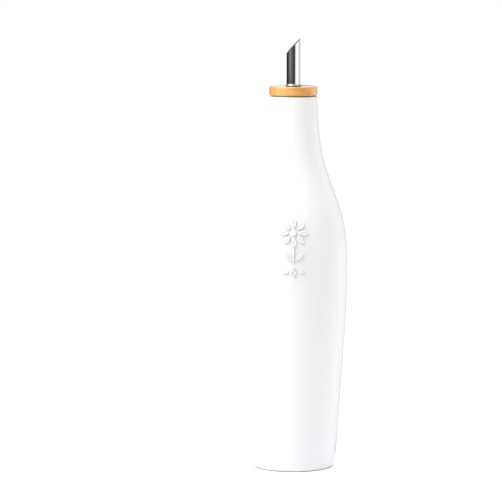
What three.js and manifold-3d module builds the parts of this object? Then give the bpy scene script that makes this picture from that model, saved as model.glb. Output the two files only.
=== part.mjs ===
// A tall oil dispenser for the table: a slip-cast white ceramic bottle with a small raised blossom on its
// front, a bamboo collar over the mouth, and a steel pouring tube with a slanted tip.
// Millimetres, +Z up. The origin is the centre of the base, on the table. The blossom faces -Y, and the
// tube pours towards -X.
import * as THREE from "three";
import { mergeVertices } from "three/addons/utils/BufferGeometryUtils.js";
import Module from "manifold-3d";

// Driving dimensions of the bottle. The outline is a smooth curve through these widths of the ceramic.
const NECK_TOP = 273.0;
const OUTLINE = [
  { height: 2.4, radius: 30.5 }, // just above the rounded foot
  { height: 12, radius: 32.0 },
  { height: 30, radius: 33.55 },
  { height: 60, radius: 35.7 },
  { height: 95, radius: 38.0 },
  { height: 125, radius: 39.6 },
  { height: 150, radius: 39.75 }, // the belly, at the widest
  { height: 170, radius: 39.0 },
  { height: 190, radius: 34.85 }, // the shoulder
  { height: 210, radius: 27.8 },
  { height: 230, radius: 21.7 },
  { height: 250, radius: 18.8 }, // the neck
  { height: 272, radius: 17.4 },
];
const FOOT_ROUNDING = 2.4;
const LIP_ROUNDING = 1.0;
const CORNER_STEPS = 3;
const BOTTLE_SIDES = 72;
const BOTTLE_RINGS = 46;

// Driving dimensions of the bamboo collar.
const SEAT_GAP = 0.3; // the collar and the tube stand this far off the ceramic
const COLLAR_RADIUS = 17.5;
const COLLAR_THICKNESS = 6.9;
const COLLAR_TOP_ROUNDING = 0.9;
const COLLAR_BOTTOM_ROUNDING = 1.3;
const COLLAR_SIDES = 72;
const HOLE_RADIUS = 5.3;

// Driving dimensions of the pouring tube.
const TIP_TOP = 315.0;
const TUBE_RADIUS = 5.0;
const TUBE_WALL = 0.7;
const TUBE_SIDES = 48;
const BEAD_RADIUS = 5.65; // a rounded bead round the tube, just above the collar
const BEAD_HEIGHT = 1.2;
const CUT_DROP = 11.0; // how far the slanted cut falls across the tube
const CUT_TURN = THREE.MathUtils.degToRad(2.5); // the cut looks this far round towards the front
const TRIM_ROOM = 1.0; // the tube runs on this far past its tip before the slanted cut
const CUTTER_SIZE = 8 * TUBE_RADIUS; // a block wide enough to cut the whole tube

// Driving dimensions of the raised blossom and of the ornament below it.
const RELIEF_HEIGHT = 1.0;
const RELIEF_SINK = 0.5; // how deep each raised piece starts inside the ceramic
const RELIEF_BEVEL = 0.45;
const CURVE_STEPS = 6;
const BLOSSOM_CENTRE = 176.4;
const BLOSSOM_RADIUS = 10.4;
const EYE_RADIUS = 2.3;
const PETAL_COUNT = 8;
const PETAL_START = 3.3;
const PETAL_WIDTH = 4.3;
const PETAL_WIDEST = 0.6; // the share of its length where it is widest
const STEM_FOOT = 154.4;
const STEM_WIDTH = 1.5;
const STEM_TAPER = 0.8; // its width at the top, as a share of its width at the foot
const STEM_TUCK = 0.4; // how far it runs in under the blossom
const LEAF_START = 156.2;
const LEAF_LENGTH = 9.0;
const LEAF_WIDTH = 3.4;
const LEAF_WIDEST = 0.55;
const LEAF_RISE = THREE.MathUtils.degToRad(38);
const ORNAMENT_HEIGHT = 148.0;
const LOZENGE_WIDTH = 5.2;
const LOZENGE_TALL = 8.2;
const BAR_START = 3.8;
const BAR_END = 8.8;
const BAR_WIDTH = 2.2;
const BAR_TAPER = 0.45;

const WELD_DISTANCE = 1e-4; // corners closer than this are one corner

const wasm = await Module();
wasm.setup();

// A smooth curve through the outline's points, straight at both ends: it gives the ceramic's radius at a
// height. The bends are the second slopes of the curve at the points.
function smoothOutline(points) {
  const last = points.length - 1;
  const bends = new Array(points.length).fill(0);
  const carried = new Array(points.length).fill(0);
  for (let i = 1; i < last; i++) {
    const [before, here, after] = [points[i - 1], points[i], points[i + 1]];
    const below = here.height - before.height;
    const above = after.height - here.height;
    const slopeChange = (after.radius - here.radius) / above - (here.radius - before.radius) / below;
    const pivot = 2 * (below + above) - below * carried[i - 1];
    carried[i] = above / pivot;
    bends[i] = (6 * slopeChange - below * bends[i - 1]) / pivot;
  }
  for (let i = last - 1; i > 0; i--) bends[i] -= carried[i] * bends[i + 1];
  return (height) => {
    let i = 0;
    while (i < last - 1 && height > points[i + 1].height) i++;
    const step = points[i + 1].height - points[i].height;
    const b = (height - points[i].height) / step;
    const a = 1 - b;
    const bow = ((a ** 3 - a) * bends[i] + (b ** 3 - b) * bends[i + 1]) * (step * step) / 6;
    return a * points[i].radius + b * points[i + 1].radius + bow;
  };
}

const radiusAt = smoothOutline(OUTLINE);

// Points of a rounded corner of a turned profile: across is the radius, up is the height.
function roundedCorner(across, up, rounding, fromAngle, toAngle, steps = CORNER_STEPS) {
  return Array.from({ length: steps + 1 }, (_, i) => {
    const angle = fromAngle + ((toAngle - fromAngle) * i) / steps;
    return new THREE.Vector2(across + rounding * Math.cos(angle), up + rounding * Math.sin(angle));
  });
}

// Turns a profile round the upright axis, one corner of each ring facing the front.
function turned(profile, sides) {
  return new THREE.LatheGeometry(profile, sides).rotateX(Math.PI / 2);
}

function toSolid(geometry) {
  const bare = geometry.clone().deleteAttribute("normal").deleteAttribute("uv");
  const merged = mergeVertices(bare, WELD_DISTANCE);
  return new wasm.Manifold(
    new wasm.Mesh({
      numProp: 3,
      vertProperties: merged.attributes.position.array,
      triVerts: new Uint32Array(merged.index.array),
    }),
  );
}

function toGeometry(solid) {
  const { numProp, numVert, vertProperties, triVerts } = solid.getMesh();
  const positions = new Float32Array(numVert * 3);
  for (let i = 0; i < numVert; i++) {
    positions.set(vertProperties.subarray(i * numProp, i * numProp + 3), i * 3);
  }
  const geometry = new THREE.BufferGeometry()
    .setAttribute("position", new THREE.BufferAttribute(positions, 3))
    .setIndex(new THREE.BufferAttribute(triVerts, 1))
    .toNonIndexed();
  geometry.computeVertexNormals();
  return geometry;
}

// The plain bottle, solid inside: a flat base, a rounded foot, the smooth outline and a rounded lip.
function plainBottle() {
  const footTop = OUTLINE[0];
  const lipHeight = NECK_TOP - LIP_ROUNDING;
  const lipRadius = radiusAt(lipHeight);
  const profile = [
    new THREE.Vector2(0, 0),
    ...roundedCorner(footTop.radius - FOOT_ROUNDING, FOOT_ROUNDING, FOOT_ROUNDING, -Math.PI / 2, 0),
  ];
  for (let i = 1; i < BOTTLE_RINGS; i++) {
    const height = footTop.height + ((lipHeight - footTop.height) * i) / BOTTLE_RINGS;
    profile.push(new THREE.Vector2(radiusAt(height), height));
  }
  profile.push(
    ...roundedCorner(lipRadius - LIP_ROUNDING, lipHeight, LIP_ROUNDING, 0, Math.PI / 2),
    new THREE.Vector2(0, NECK_TOP),
  );
  return turned(profile, BOTTLE_SIDES);
}

// A pointed oval from one point outwards, widest at the given share of its length: a petal or a leaf.
function pointedOval(start, direction, length, width, widest) {
  const along = new THREE.Vector2(Math.cos(direction), Math.sin(direction));
  const side = new THREE.Vector2(-along.y, along.x);
  const point = (ahead, aside) =>
    start.clone().addScaledVector(along, ahead * length).addScaledVector(side, aside * width);
  const tip = point(1, 0);
  const right = point(widest, -1);
  const left = point(widest, 1);
  return new THREE.Shape()
    .moveTo(start.x, start.y)
    .quadraticCurveTo(right.x, right.y, tip.x, tip.y)
    .quadraticCurveTo(left.x, left.y, start.x, start.y);
}

function polygon(corners) {
  return new THREE.Shape(corners.map(([across, up]) => new THREE.Vector2(across, up)));
}

// A raised piece with bevelled edges. Its flat outline, across and up, is wrapped round the ceramic.
function raised(shape) {
  const geometry = new THREE.ExtrudeGeometry(shape, {
    depth: RELIEF_SINK + RELIEF_HEIGHT - RELIEF_BEVEL,
    bevelThickness: RELIEF_BEVEL,
    bevelSize: RELIEF_BEVEL,
    bevelOffset: -RELIEF_BEVEL,
    bevelSegments: 1,
    curveSegments: CURVE_STEPS,
  });
  const places = geometry.attributes.position;
  for (let i = 0; i < places.count; i++) {
    const height = places.getY(i);
    const surface = radiusAt(height);
    const reach = surface - RELIEF_SINK + places.getZ(i);
    const angle = places.getX(i) / surface;
    places.setXYZ(i, reach * Math.sin(angle), -reach * Math.cos(angle), height);
  }
  return geometry;
}

function blossomShapes() {
  const shapes = [];
  for (let i = 0; i < PETAL_COUNT; i++) {
    const direction = Math.PI / 2 + (i * 2 * Math.PI) / PETAL_COUNT;
    const start = new THREE.Vector2(
      PETAL_START * Math.cos(direction),
      BLOSSOM_CENTRE + PETAL_START * Math.sin(direction),
    );
    const length = BLOSSOM_RADIUS - PETAL_START;
    shapes.push(pointedOval(start, direction, length, PETAL_WIDTH, PETAL_WIDEST));
  }
  shapes.push(new THREE.Shape().absarc(0, BLOSSOM_CENTRE, EYE_RADIUS, 0, 2 * Math.PI));
  return shapes;
}

function stemShapes() {
  const stemTop = BLOSSOM_CENTRE - BLOSSOM_RADIUS + STEM_TUCK;
  const half = STEM_WIDTH / 2;
  const halfTop = STEM_TAPER * half;
  const start = new THREE.Vector2(0, LEAF_START);
  return [
    polygon([[-half, STEM_FOOT], [half, STEM_FOOT], [halfTop, stemTop], [-halfTop, stemTop]]),
    pointedOval(start, LEAF_RISE, LEAF_LENGTH, LEAF_WIDTH, LEAF_WIDEST),
    pointedOval(start, Math.PI - LEAF_RISE, LEAF_LENGTH, LEAF_WIDTH, LEAF_WIDEST),
  ];
}

// The ornament: an upright lozenge with a tapering bar on each side.
function ornamentShapes() {
  const [wide, tall, bar] = [LOZENGE_WIDTH / 2, LOZENGE_TALL / 2, BAR_WIDTH / 2];
  const across = (side, distance, up) => [side * distance, ORNAMENT_HEIGHT + side * up];
  const barShape = (side) =>
    polygon([
      across(side, BAR_START, -bar),
      across(side, BAR_END, -BAR_TAPER * bar),
      across(side, BAR_END, BAR_TAPER * bar),
      across(side, BAR_START, bar),
    ]);
  const lozenge = polygon([
    [wide, ORNAMENT_HEIGHT],
    [0, ORNAMENT_HEIGHT + tall],
    [-wide, ORNAMENT_HEIGHT],
    [0, ORNAMENT_HEIGHT - tall],
  ]);
  return [lozenge, barShape(1), barShape(-1)];
}

function bottleGeometry() {
  let solid = toSolid(plainBottle());
  for (const shape of [...blossomShapes(), ...stemShapes(), ...ornamentShapes()]) {
    solid = solid.add(toSolid(raised(shape)));
  }
  return toGeometry(solid);
}

// The collar stands on its own underside: a ring with soft outer edges and a straight hole.
function collarGeometry() {
  const lower = COLLAR_BOTTOM_ROUNDING;
  const upper = COLLAR_TOP_ROUNDING;
  const profile = [
    new THREE.Vector2(HOLE_RADIUS, 0),
    ...roundedCorner(COLLAR_RADIUS - lower, lower, lower, -Math.PI / 2, 0),
    ...roundedCorner(COLLAR_RADIUS - upper, COLLAR_THICKNESS - upper, upper, 0, Math.PI / 2),
    new THREE.Vector2(HOLE_RADIUS, COLLAR_THICKNESS),
    new THREE.Vector2(HOLE_RADIUS, 0),
  ];
  return turned(profile, COLLAR_SIDES);
}

// The tube stands on its own foot: an open tube with a bead round it, and a slanted cut that rises
// towards +X.
function tubeGeometry(length) {
  const inside = TUBE_RADIUS - TUBE_WALL;
  const beadFoot = COLLAR_THICKNESS + SEAT_GAP;
  const round = BEAD_HEIGHT / 2;
  const profile = [
    new THREE.Vector2(inside, 0),
    new THREE.Vector2(TUBE_RADIUS, 0),
    new THREE.Vector2(TUBE_RADIUS, beadFoot),
    ...roundedCorner(
      BEAD_RADIUS - round, beadFoot + round, round, -Math.PI / 2, Math.PI / 2, 2 * CORNER_STEPS,
    ),
    new THREE.Vector2(TUBE_RADIUS, beadFoot + BEAD_HEIGHT),
    new THREE.Vector2(TUBE_RADIUS, length + TRIM_ROOM),
    new THREE.Vector2(inside, length + TRIM_ROOM),
    new THREE.Vector2(inside, 0),
  ];
  const cutter = new THREE.BoxGeometry(CUTTER_SIZE, CUTTER_SIZE, CUTTER_SIZE)
    .translate(0, 0, CUTTER_SIZE / 2)
    .rotateY(-Math.atan2(CUT_DROP, 2 * TUBE_RADIUS))
    .rotateZ(CUT_TURN)
    .translate(0, 0, length - CUT_DROP / 2);
  return toGeometry(toSolid(turned(profile, TUBE_SIDES)).subtract(toSolid(cutter)));
}

const glazedCeramic = new THREE.MeshStandardMaterial({ color: 0xf3f2ef, roughness: 0.4, metalness: 0 });
const lacqueredBamboo = new THREE.MeshStandardMaterial({ color: 0xd8964f, roughness: 0.45, metalness: 0 });
const polishedSteel = new THREE.MeshStandardMaterial({ color: 0xc9cacb, roughness: 0.12, metalness: 1 });

const bottle = new THREE.Mesh(bottleGeometry(), glazedCeramic);
bottle.name = "bottle_body";

const seat = NECK_TOP + SEAT_GAP;
const collar = new THREE.Mesh(collarGeometry(), lacqueredBamboo);
collar.name = "stopper_collar";

const tube = new THREE.Mesh(tubeGeometry(TIP_TOP - seat), polishedSteel);
tube.name = "pour_tube";

const stopper = new THREE.Group();
stopper.position.z = seat;
stopper.add(collar, tube);

const dispenser = new THREE.Group();
dispenser.add(bottle, stopper);

export default dispenser;
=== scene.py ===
# %% [markdown]
# # A ceramic oil dispenser in a white studio
# We dress a finished CAD model of a table oil bottle: white glazed ceramic, a bamboo collar over the
# mouth, and a polished steel pouring tube with a slanted tip. The CAD model keeps the sizes. Here we
# make the surfaces that the eye sees, at the same size and in the same place.

# %% Load the frame
import math
import bpy
import numpy as np
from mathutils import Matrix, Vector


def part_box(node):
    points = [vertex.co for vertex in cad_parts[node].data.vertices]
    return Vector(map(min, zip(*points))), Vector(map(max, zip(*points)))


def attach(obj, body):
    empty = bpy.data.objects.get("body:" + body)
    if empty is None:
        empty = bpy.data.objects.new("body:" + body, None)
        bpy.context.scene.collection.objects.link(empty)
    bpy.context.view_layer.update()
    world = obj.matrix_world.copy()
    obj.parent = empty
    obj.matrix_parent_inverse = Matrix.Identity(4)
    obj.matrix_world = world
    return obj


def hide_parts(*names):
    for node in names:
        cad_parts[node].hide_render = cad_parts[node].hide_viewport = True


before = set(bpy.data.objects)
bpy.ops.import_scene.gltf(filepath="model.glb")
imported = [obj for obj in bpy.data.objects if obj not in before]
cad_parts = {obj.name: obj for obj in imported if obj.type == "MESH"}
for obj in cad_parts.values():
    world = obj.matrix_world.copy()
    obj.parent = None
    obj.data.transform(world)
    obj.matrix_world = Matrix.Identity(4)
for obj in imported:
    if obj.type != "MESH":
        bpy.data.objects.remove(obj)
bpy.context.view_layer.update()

MM = 0.001
print("nodes:", sorted(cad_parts))

# %% [markdown]
# ## Sizes that come from the frame
# The frame knows where each CAD node begins and ends. We read the heights from it, so the pieces that
# we make always meet: the collar sits on the neck, and the tube stands in the collar.

# %% Read the sizes
bottle_low, bottle_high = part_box("bottle_body")
collar_low, collar_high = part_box("stopper_collar")
tube_low, tube_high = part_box("pour_tube")
NECK_TOP = bottle_high[2]
COLLAR_BOTTOM = collar_low[2]
COLLAR_TOP = collar_high[2]
COLLAR_RADIUS = collar_high[0]
TUBE_BOTTOM = tube_low[2]
TIP_TOP = tube_high[2]
BEAD_RADIUS = (tube_high[0] - tube_low[0]) / 2
print("neck top, collar top, tip in mm:", [round(z / MM, 2) for z in (NECK_TOP, COLLAR_TOP, TIP_TOP)])

# %% [markdown]
# ## The outline of the bottle
# A slip-cast bottle like this is round, so one curve says it all: how wide it is at each height. A few
# widths at chosen heights are enough. We draw a natural cubic spline through them, because its bends
# change smoothly, and a glazed surface shows every sudden change of bend as a broken highlight.

# %% A smooth curve through a few widths
OUTLINE = (  # heights and radii in millimetres
    (2.4, 30.5),
    (12, 32.0),
    (30, 33.55),
    (60, 35.7),
    (95, 38.0),
    (125, 39.6),
    (150, 39.75),
    (170, 39.0),
    (190, 34.85),
    (210, 27.8),
    (230, 21.7),
    (250, 18.8),
    (272, 17.4),
)


def spline_bends(heights, radii):
    """The second slopes of a natural cubic spline at its points: none at both ends."""
    count = len(heights)
    steps = np.diff(heights)
    slopes = np.diff(radii) / steps
    matrix = np.eye(count)
    turns = np.zeros(count)
    for i in range(1, count - 1):
        matrix[i, i - 1 : i + 2] = steps[i - 1], 2 * (steps[i - 1] + steps[i]), steps[i]
        turns[i] = 6 * (slopes[i] - slopes[i - 1])
    return np.linalg.solve(matrix, turns)


outline_heights = np.array([height for height, radius in OUTLINE]) * MM
outline_radii = np.array([radius for height, radius in OUTLINE]) * MM
outline_bends = spline_bends(outline_heights, outline_radii)


def radius_at(height):
    """How wide the ceramic is, from its axis, at a height."""
    height = np.asarray(height, float)
    i = np.clip(np.searchsorted(outline_heights, height) - 1, 0, len(outline_heights) - 2)
    step = outline_heights[i + 1] - outline_heights[i]
    b = (height - outline_heights[i]) / step
    a = 1 - b
    bow = ((a**3 - a) * outline_bends[i] + (b**3 - b) * outline_bends[i + 1]) * step**2 / 6
    return a * outline_radii[i] + b * outline_radii[i + 1] + bow


print("belly radius in mm:", round(float(radius_at(140 * MM)) / MM, 2))

# %% [markdown]
# ## The raised blossom
# The mould of a slip-cast bottle can carry a shallow picture, which stands out of the wall by about a
# millimetre and is softened by the glaze. It could be a bump in the material, but a bump has no edge
# of its own when seen from the side. We lift the real surface instead. Each petal, leaf and line is a
# small function that says how deep inside its outline a point lies. The lift then rises over a short
# soft edge.

# %% Soft edges and pointed ovals
RELIEF_HEIGHT = 1.0 * MM
RELIEF_EDGE = 0.5 * MM
GROOVE_DEPTH = 0.4  # a share of the lift
GROOVE_WIDTH = 0.35 * MM
GROOVE_START = 0.1  # these three are shares of the petal's length
GROOVE_END = 0.95
GROOVE_FADE = 0.3


def soft_step(value):
    """Rises smoothly from 0 at 0 to 1 at 1."""
    value = np.clip(value, 0, 1)
    return value * value * (3 - 2 * value)


def lift(inside):
    """The raised height of a point that lies this far inside an outline."""
    return RELIEF_HEIGHT * soft_step(inside / RELIEF_EDGE)


def pointed_oval(across, up, start, direction, length, width, widest):
    """A petal or a leaf with a groove along its middle. widest is the share of its length."""
    ahead = (across - start[0]) * math.cos(direction) + (up - start[1]) * math.sin(direction)
    aside = (up - start[1]) * math.cos(direction) - (across - start[0]) * math.sin(direction)
    share = np.clip(ahead / length, 0, 1)
    bend = 1 - 2 * widest
    along_curve = (np.sqrt(widest**2 + bend * share) - widest) / bend
    half_width = width * 2 * along_curve * (1 - along_curve)
    opens = soft_step((share - GROOVE_START) / GROOVE_FADE)
    closes = soft_step((GROOVE_END - share) / GROOVE_FADE)
    groove = GROOVE_DEPTH * np.exp(-((aside / GROOVE_WIDTH) ** 2)) * opens * closes
    return lift(half_width - np.abs(aside)) * (1 - groove)


# %% The blossom, its stem and the ornament below
BLOSSOM_CENTRE = 176.4 * MM
BLOSSOM_RADIUS = 10.4 * MM
PETALS = 8
PETAL_START = 3.3 * MM
PETAL_WIDTH = 4.3 * MM
PETAL_WIDEST = 0.6
EYE_RADIUS = 2.3 * MM
EYE_PIPS = 7
PIP_RING_RADIUS = 1.25 * MM
PIP_RADIUS = 0.38 * MM
PIP_HEIGHT = 0.16 * MM
STEM_FOOT = 154.4 * MM
STEM_WIDTH = 1.5 * MM
STEM_NARROWING = 0.2  # how much narrower its top is
STEM_TUCK = 0.4 * MM  # how far it runs in under the blossom
LEAF_START = 156.2 * MM
LEAF_LENGTH = 9.0 * MM
LEAF_WIDTH = 3.4 * MM
LEAF_WIDEST = 0.55
LEAF_RISE = math.radians(38)
ORNAMENT_HEIGHT = 148.0 * MM
LOZENGE_WIDTH = 5.2 * MM
LOZENGE_TALL = 8.2 * MM
LOZENGE_RIM = 0.75 * MM
LOZENGE_SUNK = 0.6  # how much of its lift the middle loses
BAR_START = 3.8 * MM
BAR_END = 8.8 * MM
BAR_WIDTH = 2.2 * MM
BAR_NARROWING = 0.55


def blossom(across, up):
    """Eight petals round an eye with small pips on it."""
    raised = np.zeros_like(across)
    for i in range(PETALS):
        direction = math.pi / 2 + i * 2 * math.pi / PETALS
        start = (PETAL_START * math.cos(direction), BLOSSOM_CENTRE + PETAL_START * math.sin(direction))
        length = BLOSSOM_RADIUS - PETAL_START
        petal = pointed_oval(across, up, start, direction, length, PETAL_WIDTH, PETAL_WIDEST)
        raised = np.maximum(raised, petal)
    from_eye = np.hypot(across, up - BLOSSOM_CENTRE)
    eye = lift(EYE_RADIUS - from_eye)
    for i in range(EYE_PIPS + 1):
        angle = i * 2 * math.pi / EYE_PIPS
        out = 0.0 if i == EYE_PIPS else PIP_RING_RADIUS
        pip = np.hypot(across - out * math.cos(angle), up - BLOSSOM_CENTRE - out * math.sin(angle))
        eye = eye + PIP_HEIGHT * np.exp(-((pip / PIP_RADIUS) ** 2))
    return np.maximum(raised, np.where(from_eye < EYE_RADIUS, eye, 0))


def stem_and_leaves(across, up):
    """A short stem that widens a little towards its foot, with a leaf on each side."""
    stem_top = BLOSSOM_CENTRE - BLOSSOM_RADIUS + STEM_TUCK
    climb = (up - STEM_FOOT) / (stem_top - STEM_FOOT)
    half_width = STEM_WIDTH / 2 * (1 - STEM_NARROWING * climb)
    inside = np.minimum(half_width - np.abs(across), np.minimum(up - STEM_FOOT, stem_top - up))
    raised = lift(inside)
    start = (0, LEAF_START)
    for direction in (LEAF_RISE, math.pi - LEAF_RISE):
        leaf = pointed_oval(across, up, start, direction, LEAF_LENGTH, LEAF_WIDTH, LEAF_WIDEST)
        raised = np.maximum(raised, leaf)
    return raised


def ornament(across, up):
    """An upright lozenge with a sunken middle, and a tapering bar on each side."""
    wide = LOZENGE_WIDTH / 2
    tall = LOZENGE_TALL / 2
    out = np.abs(across)
    off = np.abs(up - ORNAMENT_HEIGHT)
    inside = (1 - out / wide - off / tall) / math.hypot(1 / wide, 1 / tall)
    lozenge = lift(inside) - LOZENGE_SUNK * lift(inside - LOZENGE_RIM)
    taper = np.clip((out - BAR_START) / (BAR_END - BAR_START), 0, 1)
    half_width = BAR_WIDTH / 2 * (1 - BAR_NARROWING * taper)
    bar = lift(np.minimum(half_width - off, np.minimum(out - BAR_START, BAR_END - out)))
    return np.maximum(lozenge, bar)


def relief(across, up):
    """The raised height at a place on the front, across from its middle line and up from the table."""
    raised = np.maximum(blossom(across, up), stem_and_leaves(across, up))
    return np.maximum(raised, ornament(across, up))


def steepness(across, up):
    """How steeply the relief rises at a place: 0 where it is flat, 1 on a slope of 45 degrees."""
    near = 0.05 * MM
    sideways = relief(across + near, up) - relief(across - near, up)
    upward = relief(across, up + near) - relief(across, up - near)
    return np.hypot(sideways, upward) / (2 * near)


# %% [markdown]
# ## The bottle's surface
# A lathe in Blender (the Screw modifier) spins an outline, but it gives the same spacing all round. The
# relief needs a fine net, and the plain back doesn't. So we make the net ourselves: rings at chosen
# heights, and columns at chosen angles, both close together only behind the blossom. The foot and the
# lip are quarter circles. The underside has a shallow hollow, which leaves a foot ring to stand on.

# %% Helpers that turn rings of points into a mesh
FRONT = -math.pi / 2


def quarter_circle(centre_radius, centre_height, rounding, start_angle, steps=8):
    """Points of a rounded corner in a turned profile, as (radius, height)."""
    angles = start_angle + np.linspace(0, math.pi / 2, steps + 1)
    radii = centre_radius + rounding * np.cos(angles)
    heights = centre_height + rounding * np.sin(angles)
    return list(zip(radii, heights))


def turned_mesh(name, places, closes_on_itself):
    """A mesh from rings of points [ring, column, xyz]. Its profile closes on itself or on the axis."""
    rings, columns = places.shape[:2]
    points = places.reshape(-1, 3)
    ring, column = np.meshgrid(np.arange(rings), np.arange(columns), indexing="ij")
    if not closes_on_itself:
        ring, column = ring[:-1], column[:-1]
    above = (ring + 1) % rings
    beside = (column + 1) % columns
    corners = [ring * columns + column, ring * columns + beside]
    corners += [above * columns + beside, above * columns + column]
    faces = np.stack(corners, -1).reshape(-1, 4).tolist()
    if not closes_on_itself:
        bottom, top = len(points), len(points) + 1
        middles = [[0, 0, places[0, 0, 2]], [0, 0, places[-1, 0, 2]]]
        points = np.vstack([points, middles])
        last = (rings - 1) * columns
        for i in range(columns):
            j = (i + 1) % columns
            faces.append([bottom, j, i])
            faces.append([top, last + i, last + j])
    mesh = bpy.data.meshes.new(name)
    mesh.from_pydata(points.tolist(), [], faces)
    mesh.shade_smooth()
    mesh.update()
    piece = bpy.data.objects.new(name, mesh)
    bpy.context.scene.collection.objects.link(piece)
    print(name, "has", len(mesh.polygons), "faces")
    return piece


# %% The net of the bottle
FOOT_ROUNDING = 2.4 * MM
LIP_ROUNDING = 1.0 * MM
FOOT_RING_INSIDE = 23.0 * MM
UNDERSIDE_HOLLOW = 0.9 * MM
HOLLOW_EDGE = ((0.6 * MM, 0.75 * MM), (1.1 * MM, 0.2 * MM), (1.5 * MM, 0.0))  # outwards and up
SHADED_LIP_START = 0.7  # how far below the lip's top the painted shade begins, in lip roundings
SHADED_LIP_FADE = 0.3
FINE_STEP = 0.17 * MM
PLAIN_STEP = 2.5 * MM
RELIEF_LOW = 143.2 * MM
RELIEF_TOP = 187.4 * MM
RELIEF_HALF_ANGLE = 0.30  # in radians
PLAIN_COLUMNS = 108


def even_steps(start, end, step):
    """Evenly spaced heights from start up to end, without the end."""
    return np.linspace(start, end, max(1, round((end - start) / step)), endpoint=False)


def bottle_profile():
    """The bottle's whole profile as (radius, height), from the underside's middle to the mouth's."""
    foot_top = outline_heights[0]
    lip_start = NECK_TOP - LIP_ROUNDING
    wall = np.concatenate(
        [
            even_steps(foot_top, RELIEF_LOW, PLAIN_STEP)[1:],
            even_steps(RELIEF_LOW, RELIEF_TOP, FINE_STEP),
            even_steps(RELIEF_TOP, lip_start, PLAIN_STEP),
        ]
    )
    profile = [(0.5 * FOOT_RING_INSIDE, UNDERSIDE_HOLLOW), (FOOT_RING_INSIDE, UNDERSIDE_HOLLOW)]
    profile += [(FOOT_RING_INSIDE + outwards, up) for outwards, up in HOLLOW_EDGE]
    profile += quarter_circle(outline_radii[0] - FOOT_ROUNDING, FOOT_ROUNDING, FOOT_ROUNDING, FRONT)
    profile += list(zip(radius_at(wall), wall))
    profile += quarter_circle(radius_at(lip_start) - LIP_ROUNDING, lip_start, LIP_ROUNDING, 0)
    profile += [(0.5 * COLLAR_RADIUS, NECK_TOP)]
    return np.array(profile)


def bottle_columns():
    """Angles of the columns round the bottle, from the front: close together behind the relief."""
    fine = round(2 * RELIEF_HALF_ANGLE * radius_at(RELIEF_LOW) / FINE_STEP)
    near = np.linspace(-RELIEF_HALF_ANGLE, RELIEF_HALF_ANGLE, fine + 1)
    far = np.linspace(RELIEF_HALF_ANGLE, 2 * math.pi - RELIEF_HALF_ANGLE, PLAIN_COLUMNS + 1)
    return np.concatenate([near, far[1:-1]])


def make_bottle():
    """The bottle with its blossom. "edge" marks the relief's slopes and the lip, for painted shade."""
    profile = bottle_profile()
    angles = bottle_columns()
    radii = profile[:, :1] * np.ones(len(angles))
    heights = profile[:, 1:] * np.ones(len(angles))
    signed = np.where(angles > math.pi, angles - 2 * math.pi, angles)
    on_wall = (heights > RELIEF_LOW) & (heights < RELIEF_TOP)
    across = signed * np.where(on_wall, radii, 1.0)
    radii = radii + np.where(on_wall, relief(across, heights), 0)
    places = np.stack([radii * np.sin(angles), -radii * np.cos(angles), heights], -1)
    bottle = turned_mesh("glazed_bottle", places, closes_on_itself=False)
    # The relief's slopes and the lip under the collar are marked for painted shade.
    edge = np.where(on_wall, np.clip(steepness(across, heights), 0, 1), 0)
    lip = (heights - NECK_TOP + SHADED_LIP_START * LIP_ROUNDING) / (SHADED_LIP_FADE * LIP_ROUNDING)
    edge = np.maximum(edge, np.clip(lip, 0, 1)).ravel()
    marks = bottle.data.attributes.new("edge", "FLOAT", "POINT")
    marks.data.foreach_set("value", np.append(edge, (0, 0)))
    return bottle


glazed_bottle = make_bottle()

# %% [markdown]
# ## The glaze
# The glaze is a satin white, thick enough to round every edge, with a faint unevenness that only shows
# in reflections. Plain white paint would look like plaster. So the colour drifts a very little in soft
# clouds. It is also painted cooler towards the foot, as the cool shade near the table, and warmer on
# the neck, as the warm light from the bamboo collar: painted light. The roughness varies in soft
# patches, and a fine bump makes the skin of the glaze. On the relief's steep edges and on the lip under
# the collar the colour is darker: painted shade, for the shade in the relief's slopes and under the
# collar. Under the foot there is bare clay, because a glazed foot would stick to the kiln's shelf. The
# clay is painted dark, as the shade where the foot meets the table. The line between the two wanders,
# and it lies a little higher at both sides, most on the right, where the shade is deeper.

# %% Helpers for materials
MOST_NOISE = (0.3, 0.7)  # a soft random pattern seldom leaves this range


def new_material(name):
    """An empty material with a Principled shader, its nodes and its links."""
    material = bpy.data.materials.new(name)
    material.use_nodes = True
    nodes, links = material.node_tree.nodes, material.node_tree.links
    return material, nodes, links, nodes["Principled BSDF"]


def place_of(nodes, links, stretch):
    """The place on the piece, in metres times a stretch along each axis."""
    coordinates = nodes.new("ShaderNodeTexCoord")
    mapping = nodes.new("ShaderNodeMapping")
    mapping.inputs["Scale"].default_value = stretch
    links.new(coordinates.outputs["Object"], mapping.inputs["Vector"])
    return mapping.outputs["Vector"]


def noise(nodes, links, place, scale, detail=2.0, roughness=0.5):
    """A soft random pattern from 0 to 1. scale counts its waves in a metre."""
    texture = nodes.new("ShaderNodeTexNoise")
    texture.inputs["Scale"].default_value = scale
    texture.inputs["Detail"].default_value = detail
    texture.inputs["Roughness"].default_value = roughness
    links.new(place, texture.inputs["Vector"])
    return texture.outputs["Fac"]


def spread(nodes, links, value, low, high, to_low, to_high):
    """Moves a value from one range to another, and keeps it inside."""
    node = nodes.new("ShaderNodeMapRange")
    node.interpolation_type = "SMOOTHSTEP"
    for name, number in zip(("From Min", "From Max", "To Min", "To Max"), (low, high, to_low, to_high)):
        node.inputs[name].default_value = number
    links.new(value, node.inputs["Value"])
    return node.outputs["Result"]


def math_of(nodes, links, operation, first, second):
    """The result of an operation on two values, each a number or another node's output."""
    node = nodes.new("ShaderNodeMath")
    node.operation = operation
    for socket, value in zip(node.inputs, (first, second)):
        if isinstance(value, (int, float)):
            socket.default_value = value
        else:
            links.new(value, socket)
    return node.outputs["Value"]


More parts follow.
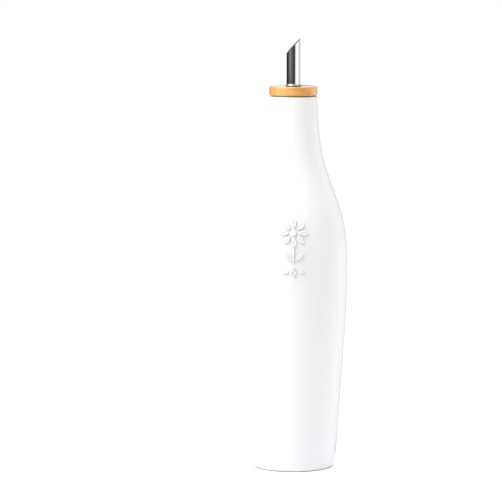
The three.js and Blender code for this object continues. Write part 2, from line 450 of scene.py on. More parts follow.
def blend_colours(nodes, links, factor, first, second):
    """Goes from the first colour to the second as the factor goes from 0 to 1."""
    node = nodes.new("ShaderNodeMix")
    node.data_type = "RGBA"
    links.new(factor, node.inputs["Factor"])
    for socket, colour in ((node.inputs["A"], first), (node.inputs["B"], second)):
        if isinstance(colour, tuple):
            socket.default_value = (*colour, 1.0)
        else:
            links.new(colour, socket)
    return node.outputs["Result"]


def bump(nodes, links, height, depth):
    """Turns a height from 0 to 1 into bent normals, for a real depth in metres."""
    node = nodes.new("ShaderNodeBump")
    node.inputs["Strength"].default_value = 1.0
    node.inputs["Distance"].default_value = depth
    links.new(height, node.inputs["Height"])
    return node.outputs["Normal"]


# %% White glaze and bare clay
GLAZE_WHITE = (0.556, 0.556, 0.559)
GLAZE_THIN = (0.548, 0.547, 0.546)
# Painted light: a cool tint near the foot for the shade by the table, and a warm one for the collar's
# light.
GLAZE_PAINTED_COOL_SHADE = (0.553, 0.555, 0.574)
GLAZE_PAINTED_WARM_LIGHT = (0.562, 0.551, 0.544)
# Painted shade for the relief's slopes and the lip under the collar.
GLAZE_PAINTED_SHADE = (0.46, 0.455, 0.45)
# The bare clay's colours are painted dark, as the shade where the foot meets the table.
BARE_CLAY_AND_SHADE = (0.16, 0.15, 0.125)
CLAY_SPECK = (0.10, 0.09, 0.075)
COOL_SHADE_HEIGHTS = (5 * MM, 80 * MM)  # coolest below the first, plain above the second
WARM_LIGHT_HEIGHTS = (220 * MM, 268 * MM)  # plain below the first, warmest above the second
CLAY_LINE = 0.65 * MM  # the height of the line between clay and glaze, before it wanders and rises
CLAY_LINE_FADE = 0.5 * MM
CLAY_LINE_WANDER = 0.8 * MM
CLAY_LEFT_RISE = 0.32 * MM
CLAY_LEFT_PLACE = (-26 * MM, -20 * MM)  # along X: fully raised, and not raised any more
# On the right the line rises higher, where it paints the deeper shade under the foot.
CLAY_AND_SHADE_RIGHT_RISE = 0.6 * MM
CLAY_RIGHT_PLACE = (19 * MM, 29 * MM)
CLOUD_WAVES = 14.0  # these count the waves of each pattern in a metre
SATIN_WAVES = 60.0
WANDER_WAVES = 160.0
SKIN_WAVES = 420.0
SPECK_WAVES = 1500.0
CLOUD_NOISE = (0.3, 0.75)  # the pattern's values for none of a tone and for all of it
SPECK_NOISE = (0.35, 0.7)
SHADED_SLOPES = (0.2, 1.0)  # how steep an edge is where the painted shade begins, and where it is deepest
SKIN_DEPTH = 0.02 * MM
GLAZE_ROUGHNESS = (0.20, 0.26)
GLAZE_IOR = 1.5
CLAY_ROUGHNESS = 0.9


def white_glaze():
    """Satin white glaze with painted light and shade, and bare clay painted dark under the foot."""
    material, nodes, links, shader = new_material("white_glaze")
    place = place_of(nodes, links, (1.0, 1.0, 1.0))
    clouds = spread(nodes, links, noise(nodes, links, place, CLOUD_WAVES), *CLOUD_NOISE, 0, 1)
    white = blend_colours(nodes, links, clouds, GLAZE_WHITE, GLAZE_THIN)
    split = nodes.new("ShaderNodeSeparateXYZ")
    links.new(place, split.inputs["Vector"])
    # Painted light: cooler towards the foot as the shade near the table, warmer on the neck as the
    # collar's light.
    near_foot = spread(nodes, links, split.outputs["Z"], *COOL_SHADE_HEIGHTS, 1, 0)
    white = blend_colours(nodes, links, near_foot, white, GLAZE_PAINTED_COOL_SHADE)
    on_neck = spread(nodes, links, split.outputs["Z"], *WARM_LIGHT_HEIGHTS, 0, 1)
    white = blend_colours(nodes, links, on_neck, white, GLAZE_PAINTED_WARM_LIGHT)
    # The marked slopes and lip get a darker colour: painted shade.
    edge = nodes.new("ShaderNodeAttribute")
    edge.attribute_name = "edge"
    painted_shade = spread(nodes, links, edge.outputs["Fac"], *SHADED_SLOPES, 0, 1)
    white = blend_colours(nodes, links, painted_shade, white, GLAZE_PAINTED_SHADE)
    wander = noise(nodes, links, place, WANDER_WAVES, detail=3.0)
    wander = math_of(nodes, links, "MULTIPLY", wander, CLAY_LINE_WANDER)
    # The line rises at both sides, most on the right, where the dark clay also paints the deeper shade.
    for rise in (
        spread(nodes, links, split.outputs["X"], *CLAY_LEFT_PLACE, CLAY_LEFT_RISE, 0),
        spread(nodes, links, split.outputs["X"], *CLAY_RIGHT_PLACE, 0, CLAY_AND_SHADE_RIGHT_RISE),
    ):
        wander = math_of(nodes, links, "ADD", wander, rise)
    height = math_of(nodes, links, "SUBTRACT", split.outputs["Z"], wander)
    glazed = spread(nodes, links, height, CLAY_LINE - CLAY_LINE_FADE, CLAY_LINE, 0, 1)
    # Below the line lies bare clay, painted dark as the shade where the foot meets the table.
    specks = spread(nodes, links, noise(nodes, links, place, SPECK_WAVES), *SPECK_NOISE, 0, 1)
    clay_and_shade = blend_colours(nodes, links, specks, BARE_CLAY_AND_SHADE, CLAY_SPECK)
    links.new(blend_colours(nodes, links, glazed, clay_and_shade, white), shader.inputs["Base Color"])
    patches = noise(nodes, links, place, SATIN_WAVES)
    satin = spread(nodes, links, patches, *MOST_NOISE, *GLAZE_ROUGHNESS)
    bare = math_of(nodes, links, "SUBTRACT", 1.0, glazed)
    dull = math_of(nodes, links, "MULTIPLY", bare, CLAY_ROUGHNESS)
    links.new(math_of(nodes, links, "MAXIMUM", satin, dull), shader.inputs["Roughness"])
    skin = noise(nodes, links, place, SKIN_WAVES, detail=3.0, roughness=0.55)
    links.new(bump(nodes, links, skin, SKIN_DEPTH), shader.inputs["Normal"])
    shader.inputs["IOR"].default_value = GLAZE_IOR
    return material


glazed_bottle.data.materials.append(white_glaze())

# %% [markdown]
# ## The bamboo collar
# The collar is a disc turned from laminated bamboo board, with soft edges and a drilled hole. It could
# be a cylinder with a bevel, but its lower edge is rounder than the upper one, and the edges of the hole
# are only just broken. So it is turned from a closed profile, in the same way as the bottle. A ring
# very close to each bend keeps the smooth shading of the flat faces from being pulled round the bend.

# %% Turn the collar
COLLAR_TOP_ROUNDING = 0.9 * MM
COLLAR_BOTTOM_ROUNDING = 1.3 * MM
HOLE_RADIUS = 5.3 * MM
HOLE_ROUNDING = 0.2 * MM
CREASE = 0.08 * MM  # how close a bend's own ring lies to it
UNDER_RINGS = (9 * MM, 13 * MM)  # radii of the rings on the flat underside
TOP_RINGS = (14 * MM, 11 * MM, 8 * MM)
WALL_RINGS = 6
HOLE_STEPS = 4
COLLAR_COLUMNS = 192


def spin(profile, columns):
    """Rings of points [ring, column, xyz] from a profile of (radius, height)."""
    angles = np.linspace(0, 2 * math.pi, columns, endpoint=False)
    radii = np.array([radius for radius, height in profile])[:, None]
    heights = np.array([height for radius, height in profile])[:, None] * np.ones(columns)
    return np.stack([radii * np.sin(angles), -radii * np.cos(angles), heights], -1)


def make_collar():
    """A disc with soft edges and a hole for the tube."""
    under, over, edge = COLLAR_BOTTOM_ROUNDING, COLLAR_TOP_ROUNDING, HOLE_ROUNDING
    wall = np.linspace(COLLAR_BOTTOM + under, COLLAR_TOP - over, WALL_RINGS)[1:-1]
    flat = COLLAR_RADIUS - CREASE
    profile = [(radius, COLLAR_BOTTOM) for radius in (*UNDER_RINGS, flat - under)]
    profile += quarter_circle(COLLAR_RADIUS - under, COLLAR_BOTTOM + under, under, FRONT)
    profile += [(COLLAR_RADIUS, height) for height in wall]
    profile += quarter_circle(COLLAR_RADIUS - over, COLLAR_TOP - over, over, 0)
    profile += [(radius, COLLAR_TOP) for radius in (flat - over, *TOP_RINGS)]
    for height, start in ((COLLAR_TOP - edge, math.pi / 2), (COLLAR_BOTTOM + edge, math.pi)):
        profile += quarter_circle(HOLE_RADIUS + edge, height, edge, start, HOLE_STEPS)
    return turned_mesh("bamboo_collar", spin(profile, COLLAR_COLUMNS), closes_on_itself=True)


bamboo_collar = make_collar()

# %% [markdown]
# ## Lacquered bamboo
# Bamboo has no rings as wood has. It is a bundle of straight fibres, a little darker than the pith
# between them, and a board is glued from strips a few millimetres wide. So the pattern is solid, cut
# through like the real board: long streaks along X on the top and the front, and dots where the fibres
# end at both sides. Along X the colour is painted deeper at the left end and in the right half, as
# painted shade, and paler at the right end, as a painted highlight. The lowest millimetre is painted
# darker, as the shade under the collar where it meets the neck. A clear coat gives the lacquer's shine.

# %% The bamboo's fibres, strips and lacquer
BAMBOO_PALE = (0.50, 0.293, 0.101)
BAMBOO_DEEP = (0.45, 0.172, 0.027)
FIBRE_BROWN = (0.34, 0.13, 0.03)
# Painted shade: the colour of the collar's lowest millimetre, where it sits on the neck.
UNDER_COLLAR_SHADE = (0.20, 0.09, 0.03)
UNDER_COLLAR_SHADE_HEIGHT = 1.1 * MM
UNDER_COLLAR_SHADE_DEPTH = 0.75
STRIP_WIDTH = 5.5 * MM
STRIP_TONE = 0.2  # how much deeper than its neighbours a strip can be
ALONG_GRAIN = (0.05, 1.0, 1.0)  # every pattern is drawn out twenty times along X
STREAK_WAVES = 900.0
BROAD_WAVES = 480.0
DOT_WAVES = 2300.0
STREAK_NOISE = (0.3, 0.75)
STREAK_TONES = (-0.25, 0.4)  # 0 is pale and 1 is deep, and the layers add up
BROAD_TONES = (-0.2, 0.25)
DOT_NOISE = (0.60, 0.72)  # only the peaks of the pattern make a dot
DOT_STRENGTH = 0.5
# Painted light along X: deeper tones as painted shade, and a paler one as a painted highlight.
PAINTED_SHADE_AND_HIGHLIGHT_ALONG_X = (
    (-17 * MM, -9 * MM, 0.45, 0.0),  # painted shade, deeper at the left end
    (-7 * MM, 8 * MM, 0.0, 0.68),  # painted shade, deeper again in the right half
    (11 * MM, 15.5 * MM, 0.0, -1.1),  # painted highlight, pale at the right end
)
STREAK_DEPTH = 0.02 * MM
BOARD_ROUGHNESS = (0.38, 0.5)
BOARD_SHINE = 0.3
LACQUER_COVER = 0.9
LACQUER_ROUGHNESS = 0.04
LACQUER_IOR = 1.3


def bamboo_board():
    """Pale straight fibres along X, glued strips across Y, and a clear coat."""
    material, nodes, links, shader = new_material("lacquered_bamboo")
    grain = place_of(nodes, links, ALONG_GRAIN)
    streaks = noise(nodes, links, grain, STREAK_WAVES, detail=3.0, roughness=0.6)
    broad = noise(nodes, links, grain, BROAD_WAVES)
    dots = noise(nodes, links, grain, DOT_WAVES, detail=1.0)
    split = nodes.new("ShaderNodeSeparateXYZ")
    links.new(place_of(nodes, links, (1.0, 1.0, 1.0)), split.inputs["Vector"])
    strip_count = math_of(nodes, links, "DIVIDE", split.outputs["Y"], STRIP_WIDTH)
    strip_tone = nodes.new("ShaderNodeTexWhiteNoise")
    strip_tone.noise_dimensions = "1D"
    links.new(math_of(nodes, links, "FLOOR", strip_count, 0.0), strip_tone.inputs["W"])
    depth = math_of(nodes, links, "MULTIPLY", strip_tone.outputs["Value"], STRIP_TONE)
    layers = [spread(nodes, links, streaks, *STREAK_NOISE, *STREAK_TONES)]
    layers += [spread(nodes, links, broad, *MOST_NOISE, *BROAD_TONES)]
    # Painted shade deeper at the left end and in the right half, and a painted highlight at the right end.
    layers += [spread(nodes, links, split.outputs["X"], *tones) for tones in PAINTED_SHADE_AND_HIGHLIGHT_ALONG_X]
    for layer in layers:
        depth = math_of(nodes, links, "ADD", depth, layer)
    ground = blend_colours(nodes, links, depth, BAMBOO_PALE, BAMBOO_DEEP)
    fibres = spread(nodes, links, dots, *DOT_NOISE, 0.0, DOT_STRENGTH)
    board = blend_colours(nodes, links, fibres, ground, FIBRE_BROWN)
    # The lowest millimetre is painted darker: painted shade under the collar.
    low, high = COLLAR_BOTTOM, COLLAR_BOTTOM + UNDER_COLLAR_SHADE_HEIGHT
    under_collar_shade = spread(nodes, links, split.outputs["Z"], low, high, UNDER_COLLAR_SHADE_DEPTH, 0.0)
    links.new(blend_colours(nodes, links, under_collar_shade, board, UNDER_COLLAR_SHADE), shader.inputs["Base Color"])
    links.new(bump(nodes, links, streaks, STREAK_DEPTH), shader.inputs["Normal"])
    roughness = spread(nodes, links, streaks, *MOST_NOISE, *BOARD_ROUGHNESS)
    links.new(roughness, shader.inputs["Roughness"])
    shader.inputs["Specular IOR Level"].default_value = BOARD_SHINE
    shader.inputs["Coat Weight"].default_value = LACQUER_COVER
    shader.inputs["Coat Roughness"].default_value = LACQUER_ROUGHNESS
    shader.inputs["Coat IOR"].default_value = LACQUER_IOR
    return material


bamboo_collar.data.materials.append(bamboo_board())

# %% [markdown]
# ## The pouring tube
# The tube is drawn stainless steel, polished bright, with its end cut on a slant and the edges deburred.
# A small round bead is rolled into it just above the collar. A boolean cut would leave a knife edge and
# ragged shading. Here each column of the tube knows where the slanted plane meets it, so the rim is made
# at the right height from the start, with two soft edges. Here too a ring lies close to each bend.

# %% Make the tube with its bead and slanted rim
TUBE_RADIUS = 5.0 * MM
TUBE_WALL = 0.7 * MM
BEAD_HEIGHT = 1.2 * MM
BEAD_GAP = 0.3 * MM
BEAD_FOOT = COLLAR_TOP + BEAD_GAP
BEAD_TOP = BEAD_FOOT + BEAD_HEIGHT
CUT_DROP = 11.0 * MM
CUT_TURN = math.radians(2.5)
RIM_ROUNDING = 0.12 * MM
RIM_STEPS = 5
BEAD_STEPS = 6
SEAT_RINGS = 5  # the rings between the tube's end and its bead, outside and inside
SHAFT_RINGS = 13
SHADED_BEAD_RINGS = 3  # how many rings of the bead's underside are dull steel, painted dark as shade
TUBE_COLUMNS = 128
TUBE_ANGLES = np.linspace(0, 2 * math.pi, TUBE_COLUMNS, endpoint=False)


def level_ring(radius, height):
    """A level ring of points round the tube's axis."""
    return spin([(radius, height)], TUBE_COLUMNS)[0]


def slanted_ring(radius, share, below_cut):
    """A ring of points whose share goes from 0 at the bead's top to 1 at the slanted cut."""
    x = radius * np.sin(TUBE_ANGLES)
    y = -radius * np.cos(TUBE_ANGLES)
    towards_tip = x * math.cos(CUT_TURN) + y * math.sin(CUT_TURN)
    cut = TIP_TOP - CUT_DROP / 2 + CUT_DROP / (2 * TUBE_RADIUS) * towards_tip - below_cut
    return np.stack([x, y, BEAD_TOP + share * (cut - BEAD_TOP)], -1)


def make_tube():
    """An open tube. Its rings run up the outside, over the bead and the rim, and down the inside."""
    inner = TUBE_RADIUS - TUBE_WALL
    bead = BEAD_HEIGHT / 2
    bead_middle = (BEAD_RADIUS - bead, BEAD_FOOT + bead)
    below = [*np.linspace(TUBE_BOTTOM, BEAD_FOOT - CREASE, SEAT_RINGS), BEAD_FOOT]
    shares = np.linspace(CREASE / (TIP_TOP - BEAD_TOP), 1, SHAFT_RINGS)[:-1]
    rings = [level_ring(TUBE_RADIUS, height) for height in below]
    shaded_up_to = len(rings) + SHADED_BEAD_RINGS
    for start in (FRONT, 0):
        rings += [level_ring(*point) for point in quarter_circle(*bead_middle, bead, start, BEAD_STEPS)]
    rings.append(level_ring(TUBE_RADIUS, BEAD_TOP))
    rings += [slanted_ring(TUBE_RADIUS, share, RIM_ROUNDING) for share in shares]
    rings.append(slanted_ring(TUBE_RADIUS, 1.0, RIM_ROUNDING + CREASE))
    shaded_from = len(rings) - 1
    for angle in np.linspace(0, math.pi / 2, RIM_STEPS):
        off, down = RIM_ROUNDING * (1 - math.cos(angle)), RIM_ROUNDING * (1 - math.sin(angle))
        rings.append(slanted_ring(TUBE_RADIUS - off, 1.0, down))
    for angle in np.linspace(0, math.pi / 2, RIM_STEPS):
        off, down = RIM_ROUNDING * (1 - math.sin(angle)), RIM_ROUNDING * (1 - math.cos(angle))
        rings.append(slanted_ring(inner + off, 1.0, down))
    rings.append(slanted_ring(inner, 1.0, RIM_ROUNDING + CREASE))
    rings += [slanted_ring(inner, share, RIM_ROUNDING) for share in shares[::-1]]
    rings += [level_ring(inner, height) for height in np.linspace(BEAD_TOP, TUBE_BOTTOM, SEAT_RINGS)]
    tube = turned_mesh("steel_tube", np.array(rings), closes_on_itself=True)
    # The bead's underside, the cut end and the inside get the dull steel, which is painted dark as shade.
    for face in tube.data.polygons:
        ring = face.index // TUBE_COLUMNS
        face.material_index = int(ring < shaded_up_to or shaded_from <= ring)
    return tube


steel_tube = make_tube()

# %% [markdown]
# ## Polished and dull steel
# A mirror has almost no colour of its own: the studio around it makes its stripes. What belongs to the
# steel is how it bends those stripes. Fine lines run up the tube from the drawing and polishing, and
# faint patches are a little duller. The polishing wheel never reaches the inside, the cut end and the
# underside of the bead, so they keep the dull skin of the drawn tube, with its fine marks. That steel is
# painted far darker than steel is, as painted shade inside the tube, at its cut end and under the bead.

# %% Bright steel with draw lines
STEEL = (0.66, 0.655, 0.645)
STEEL_LINE = (0.61, 0.61, 0.61)
UP_THE_TUBE = (1.0, 1.0, 0.02)  # the lines are drawn out fifty times along Z
LINE_WAVES = 2600.0
LINE_DEPTH = 0.0015 * MM
PATCH_WAVES = 90.0
BRIGHT_ROUGHNESS = (0.04, 0.08)


def bright_steel():
    """Mirror-polished steel, with faint lines up the tube."""
    material, nodes, links, shader = new_material("bright_steel")
    lines = noise(nodes, links, place_of(nodes, links, UP_THE_TUBE), LINE_WAVES)
    patches = noise(nodes, links, place_of(nodes, links, (1.0, 1.0, 1.0)), PATCH_WAVES)
    line_share = spread(nodes, links, lines, *MOST_NOISE, 0, 1)
    links.new(blend_colours(nodes, links, line_share, STEEL, STEEL_LINE), shader.inputs["Base Color"])
    roughness = spread(nodes, links, patches, *MOST_NOISE, *BRIGHT_ROUGHNESS)
    links.new(roughness, shader.inputs["Roughness"])
    links.new(bump(nodes, links, lines, LINE_DEPTH), shader.inputs["Normal"])
    shader.inputs["Metallic"].default_value = 1.0
    return material


# %% Dull steel, painted dark as shade, for the inside, the cut end and the bead's underside
# These colours are painted shade: steel this dark stands for the shade inside the tube and under the bead.
SHADED_DULL_STEEL = (0.10, 0.095, 0.09)
SHADED_DULL_STEEL_MARK = (0.16, 0.155, 0.15)
SHADED_DULL_STEEL_GLANCE = (0.25, 0.25, 0.25, 1.0)
MARKS_UP_THE_TUBE = (1.0, 1.0, 0.1)
MARK_WAVES = 3200.0
MARK_DEPTH = 0.006 * MM
DULL_ROUGHNESS = (0.3, 0.42)


def shaded_dull_steel():
    """Steel as it was drawn and cut, with fine marks, painted dark as shade."""
    material, nodes, links, shader = new_material("shaded_dull_steel")
    marks = noise(nodes, links, place_of(nodes, links, MARKS_UP_THE_TUBE), MARK_WAVES, detail=3.0)
    share = spread(nodes, links, marks, *MOST_NOISE, 0, 1)
    links.new(blend_colours(nodes, links, share, SHADED_DULL_STEEL, SHADED_DULL_STEEL_MARK), shader.inputs["Base Color"])
    roughness = spread(nodes, links, marks, *MOST_NOISE, *DULL_ROUGHNESS)
    links.new(roughness, shader.inputs["Roughness"])
    links.new(bump(nodes, links, marks, MARK_DEPTH), shader.inputs["Normal"])
    shader.inputs["Specular Tint"].default_value = SHADED_DULL_STEEL_GLANCE
    shader.inputs["Metallic"].default_value = 1.0
    return material


for finish in (bright_steel(), shaded_dull_steel()):
    steel_tube.data.materials.append(finish)

# %% [markdown]
# ## Put each piece in place of its CAD node
# Each piece stands for one CAD node, which is hidden, and moves with the one body.

# %% Join the pieces to the frame
for piece, node, slot in (
    (glazed_bottle, "bottle_body", "glazed_white"),
    (bamboo_collar, "stopper_collar", "bamboo"),
    (steel_tube, "pour_tube", "polished_steel"),
):
    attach(piece, "root")
    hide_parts(node)
    print(piece.name, "stands for", node)

# %% [markdown]
# ## The floor
# The bottle stands on a white table that runs out to white all round. A plain floor turns grey far away,
# and a strongly glowing one hides every shadow. This one reflects two thirds of its light and glows by
# itself for the rest. It glows more round the foot and to its left, like a light table, which lifts the
# shade off the lowest part of the wall.

# %% A white floor
FLOOR_REACH = 40.0
FLOOR_SIDES = 96
FLOOR_WHITE = (0.69, 0.69, 0.69)
FLOOR_ROUGHNESS = 0.6
FLOOR_SHINE = 0.2
FLOOR_GLOW = 0.31
POOL_GLOW = 0.23
POOL_RADIUS = 0.11
POOL_SHIFT = -14 * MM


def make_floor():
    """A wide pale disc just under the foot."""
    angles = np.linspace(0, 2 * math.pi, FLOOR_SIDES, endpoint=False)
    rim = [(FLOOR_REACH * math.cos(a), FLOOR_REACH * math.sin(a), 0.0) for a in angles]
    mesh = bpy.data.meshes.new("pale_floor")
    mesh.from_pydata(rim, [], [list(range(len(rim)))])
    floor = bpy.data.objects.new("pale_floor", mesh)
    floor.location = (POOL_SHIFT, 0.0, 0.0)
    bpy.context.scene.collection.objects.link(floor)
    material, nodes, links, shader = new_material("pale_floor")
    shader.inputs["Base Color"].default_value = (*FLOOR_WHITE, 1.0)
    shader.inputs["Roughness"].default_value = FLOOR_ROUGHNESS
    shader.inputs["Specular IOR Level"].default_value = FLOOR_SHINE
    from_middle = nodes.new("ShaderNodeVectorMath")
    from_middle.operation = "LENGTH"
    links.new(place_of(nodes, links, (1.0, 1.0, 1.0)), from_middle.inputs[0])
    distance = from_middle.outputs["Value"]
    glow = spread(nodes, links, distance, 0.0, POOL_RADIUS, FLOOR_GLOW + POOL_GLOW, FLOOR_GLOW)
    shader.inputs["Emission Color"].default_value = (1.0, 1.0, 1.0, 1.0)
    links.new(glow, shader.inputs["Emission Strength"])
    mesh.materials.append(material)
    return floor


make_floor()

# %% [markdown]
# ## The light
# White on white needs little light and much care. A white room gives an even base. A softbox high on
# the left lifts that side almost to the paper's white, and another low behind on the right opens the far
# edge, so the darkest part of the bottle lies just right of its middle, as in the photograph. A third
# hangs overhead and lifts the shoulder. Only the first one shows in reflections.

# %% The white room and three softboxes
ROOM_WHITE = (1.0, 1.0, 1.0)
ROOM_STRENGTH = 1.0
TARGET = (0.0, 0.0, 0.15)
SOFTBOX_DISTANCE = 1.6
SOFTBOX_TALL = 0.8
SOFTBOXES = (  # azimuth and elevation in degrees, width in metres, watts, and whether reflections see it
    ("left_softbox", -60, 52, 0.9, 35.5, True),
    ("right_softbox", 112, 8, 0.6, 11.5, False),
    ("top_softbox", -60, 88, 0.8, 6.0, False),
)


def around(azimuth, elevation, distance):
    """A place round the bottle. Azimuth 0 is in front, and 90 is to the right."""
    turn, rise = math.radians(azimuth), math.radians(elevation)
    flat = distance * math.cos(rise)
    return (
        TARGET[0] + flat * math.sin(turn),
        TARGET[1] - flat * math.cos(turn),
        TARGET[2] + distance * math.sin(rise),
    )


def look_at(thing, target):
    """Turns a light so that it faces a place."""
    direction = np.array(target) - np.array(thing.location)
    flat = math.hypot(direction[0], direction[1])
    thing.rotation_euler = (
        math.pi / 2 + math.atan2(direction[2], flat),
        0.0,
        math.atan2(direction[1], direction[0]) - math.pi / 2,
    )


def softbox(name, azimuth, elevation, width, power, in_reflections):
    """A soft white rectangular light that faces the bottle and isn't seen by the camera."""
    lamp = bpy.data.lights.new(name, "AREA")
    lamp.shape = "RECTANGLE"
    lamp.size = width
    lamp.size_y = SOFTBOX_TALL
    lamp.energy = power
    box = bpy.data.objects.new(name, lamp)
    box.location = around(azimuth, elevation, SOFTBOX_DISTANCE)
    look_at(box, TARGET)
    box.visible_camera = False
    box.visible_glossy = in_reflections
    bpy.context.scene.collection.objects.link(box)


world = bpy.data.worlds.new("white_room")
world.use_nodes = True
world.node_tree.nodes["Background"].inputs["Color"].default_value = (*ROOM_WHITE, 1.0)
world.node_tree.nodes["Background"].inputs["Strength"].default_value = ROOM_STRENGTH
bpy.context.scene.world = world
for numbers in SOFTBOXES:
    softbox(*numbers)

# %% [markdown]
# ## What the shiny surfaces see
# A polished tube in an all-white room has no form. Photographers stand dark cards around it. Here one
# low hoop of card stands around the bottle, dark in front and behind, grey to the left and white to the
# right. A paler streak on the left fades downwards. The hoop ends below the line where the collar's top
# looks past it to the white room. Three tall wings stand on it, two behind and one in front, and darken
# the ends of the bead and its middle. White glaze in front of white also needs dark cards, called
# flags: two stand low and close behind the bottle, and draw a thin grey line along its edges. The right
# one runs on along the table to the foot. A low card over them gives the collar's shiny top its grey
# far edge. Only reflections see the cards, so they throw no shadow and never block another view. Their
# tones are a number at each point of the mesh, which the material reads.

# %% The tones of the cards
HOOP_DISTANCE = 1.5
HOOP_LOW = 0.02
HOOP_TOP = 0.335
HOOP_TONES = (  # azimuth in degrees and tone, where 0 is black and 1 is as bright as the room
    (-180, 0.12),
    (-157, 0.20),
    (-140, 0.04),
    (-110, 0.03),
    (-86, 0.10),
    (-65, 0.17),
    (-46, 0.20),
    (-29, 0.16),
    (-12, 0.14),
    (0, 0.055),
    (24, 0.07),
    (34, 0.95),
    (57, 1.7),
    (80, 1.55),
    (101, 1.2),
    (134, 0.95),
    (146, 0.38),
    (180, 0.12),
)
STREAK_AZIMUTH = -58  # these two are in degrees
STREAK_WIDTH = 18
STREAK_TONE = 0.24
STREAK_FOOT = 0.200
STREAK_HEAD = 0.235
WING_TOP = 1.4
BLACK_WING = 0.08
GREY_WING = 0.15
CARD_LOW = 0.001
FLAG_DISTANCE = 0.13
FLAG_TOP = 0.255
FLAG_FOOT = 0.031  # how near to the bottle's axis the right flag begins
FLAG_BEND = 0.004  # the height where it turns from the table upwards
LEFT_FLAG_TONE = 0.85
RIGHT_FLAG_HEIGHTS = (CARD_LOW, FLAG_BEND, 0.025, 0.09, 0.21)
RIGHT_FLAG_TONES = (0.0, 0.5, 0.55, 0.45, 0.4)
RIGHT_FLAG_ON_TABLE = ((112, 1.2), (124, None), (172, None), (180, 0.9))  # None takes its height's tone
RIGHT_FLAG_UPRIGHT = ((112, 1.25), (130, 1.0), (142, None), (172, None), (180, 0.9))
LOW_CARD_RISE = 6.75 * MM
LOW_CARD_TONES = ((171, 0.4), (173, 0.03), (179, 0.03), (182, 0.6))
CARD_ROWS = 25
CARD_STEP = 1.5  # in degrees


def hoop_tone(azimuths, height):
    """How bright the hoop is towards each azimuth in degrees, at a height."""
    directions, tones = zip(*HOOP_TONES)
    across = np.exp(-(((azimuths - STREAK_AZIMUTH) / STREAK_WIDTH) ** 2))
    rise = soft_step((height - STREAK_FOOT) / (STREAK_HEAD - STREAK_FOOT))
    return np.interp(azimuths, directions, tones) + STREAK_TONE * across * rise


def wing_tone(azimuths, height):
    """Nearly black on the left and in front, dark grey on the right."""
    return np.where(azimuths < 90, BLACK_WING, GREY_WING)


def left_flag_tone(azimuths, height):
    """Nearly white."""
    return np.full_like(azimuths, LEFT_FLAG_TONE)


def right_flag_tone(azimuths, height):
    """Black close to the foot and grey where it stands, and paler towards both ends."""
    middle = np.interp(height, RIGHT_FLAG_HEIGHTS, RIGHT_FLAG_TONES)
    directions, tones = zip(*(RIGHT_FLAG_ON_TABLE if height == CARD_LOW else RIGHT_FLAG_UPRIGHT))
    tones = [middle if tone is None else tone for tone in tones]
    return np.interp(azimuths, directions, tones)


def low_card_tone(azimuths, height):
    """Dark behind the collar's right half, and paler towards its left."""
    directions, tones = zip(*LOW_CARD_TONES)
    return np.interp(azimuths, directions, tones)


# %% Stand up the cards
def card_paint():
    """A glow that reads its strength from the mesh's own tones."""
    material = bpy.data.materials.new("card_paint")
    material.use_nodes = True
    nodes, links = material.node_tree.nodes, material.node_tree.links
    nodes.clear()
    tone = nodes.new("ShaderNodeAttribute")
    tone.attribute_name = "tone"
    glow = nodes.new("ShaderNodeEmission")
    links.new(tone.outputs["Fac"], glow.inputs["Strength"])
    output = nodes.new("ShaderNodeOutputMaterial")
    links.new(glow.outputs["Emission"], output.inputs["Surface"])
    return material


def upright(distance, low, top):
    """Points of an upright card's profile as (distance, height)."""
    return [(distance, height) for height in np.linspace(low, top, CARD_ROWS)]


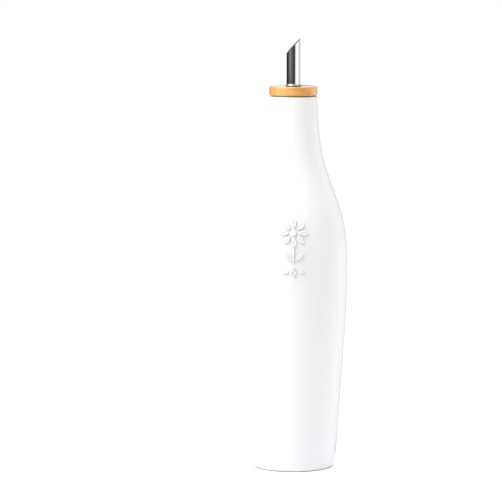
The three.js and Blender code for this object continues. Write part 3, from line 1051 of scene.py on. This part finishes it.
def make_card(name, paint, profile, start, end, tone_of):
    """A bent card from one azimuth to another, seen by reflections alone."""
    columns = round((end - start) / CARD_STEP)
    azimuths = np.linspace(start, end, columns + 1)
    turns = np.radians(azimuths)
    places, tones, faces = [], [], []
    for row, (distance, height) in enumerate(profile):
        x, y = distance * np.sin(turns), -distance * np.cos(turns)
        places += np.stack([x, y, np.full(columns + 1, height)], -1).tolist()
        tones += tone_of(azimuths, height).tolist()
        for i in range(columns if row < len(profile) - 1 else 0):
            here = row * (columns + 1) + i
            faces.append([here, here + 1, here + columns + 2, here + columns + 1])
    mesh = bpy.data.meshes.new(name)
    mesh.from_pydata(places, [], faces)
    mesh.attributes.new("tone", "FLOAT", "POINT").data.foreach_set("value", tones)
    mesh.materials.append(paint)
    card = bpy.data.objects.new(name, mesh)
    bpy.context.scene.collection.objects.link(card)
    for ray in ("camera", "diffuse", "transmission", "volume_scatter", "shadow"):
        setattr(card, "visible_" + ray, False)


paint = card_paint()
hoop = upright(HOOP_DISTANCE, HOOP_LOW, HOOP_TOP)
wing = upright(HOOP_DISTANCE, HOOP_TOP, WING_TOP)
left_flag = upright(FLAG_DISTANCE, CARD_LOW, FLAG_TOP)
right_flag = [(FLAG_FOOT, CARD_LOW)] + upright(FLAG_DISTANCE, FLAG_BEND, FLAG_TOP)
low_card = upright(FLAG_DISTANCE, FLAG_TOP, COLLAR_TOP + LOW_CARD_RISE)
for name, profile, start, end, tone_of in (  # each runs from one azimuth to another, in degrees
    ("card_hoop", hoop, -180, 180, hoop_tone),
    ("left_wing", wing, -165, -103, wing_tone),
    ("front_wing", wing, -12, 18, wing_tone),
    ("right_wing", wing, 135, 165, wing_tone),
    ("left_flag", left_flag, -180, -132, left_flag_tone),
    ("right_flag", right_flag, 112, 180, right_flag_tone),
    ("low_card", low_card, 170, 190, low_card_tone),
):
    make_card(name, paint, profile, start, end, tone_of)

# %% [markdown]
# ## The camera
# A long lens from two metres away, a little above the bottle's tip and tilted down, gives the slim look
# with almost upright sides.

# %% Set the camera
CAMERA_PLACE = (-30.85 * MM, -2101 * MM, 392.9 * MM)
CAMERA_TILT = math.radians(6.347)
LENS = 206.7
SENSOR_WIDTH = 36.0
FARTHEST_VIEW = 100.0

camera_data = bpy.data.cameras.new("camera")
camera_data.lens = LENS
camera_data.sensor_width = SENSOR_WIDTH
camera_data.clip_end = FARTHEST_VIEW
camera = bpy.data.objects.new("camera", camera_data)
camera.location = CAMERA_PLACE
camera.rotation_euler = (math.pi / 2 - CAMERA_TILT, 0.0, 0.0)
bpy.context.scene.collection.objects.link(camera)
bpy.context.scene.camera = camera
bpy.context.scene.view_settings.view_transform = "Standard"
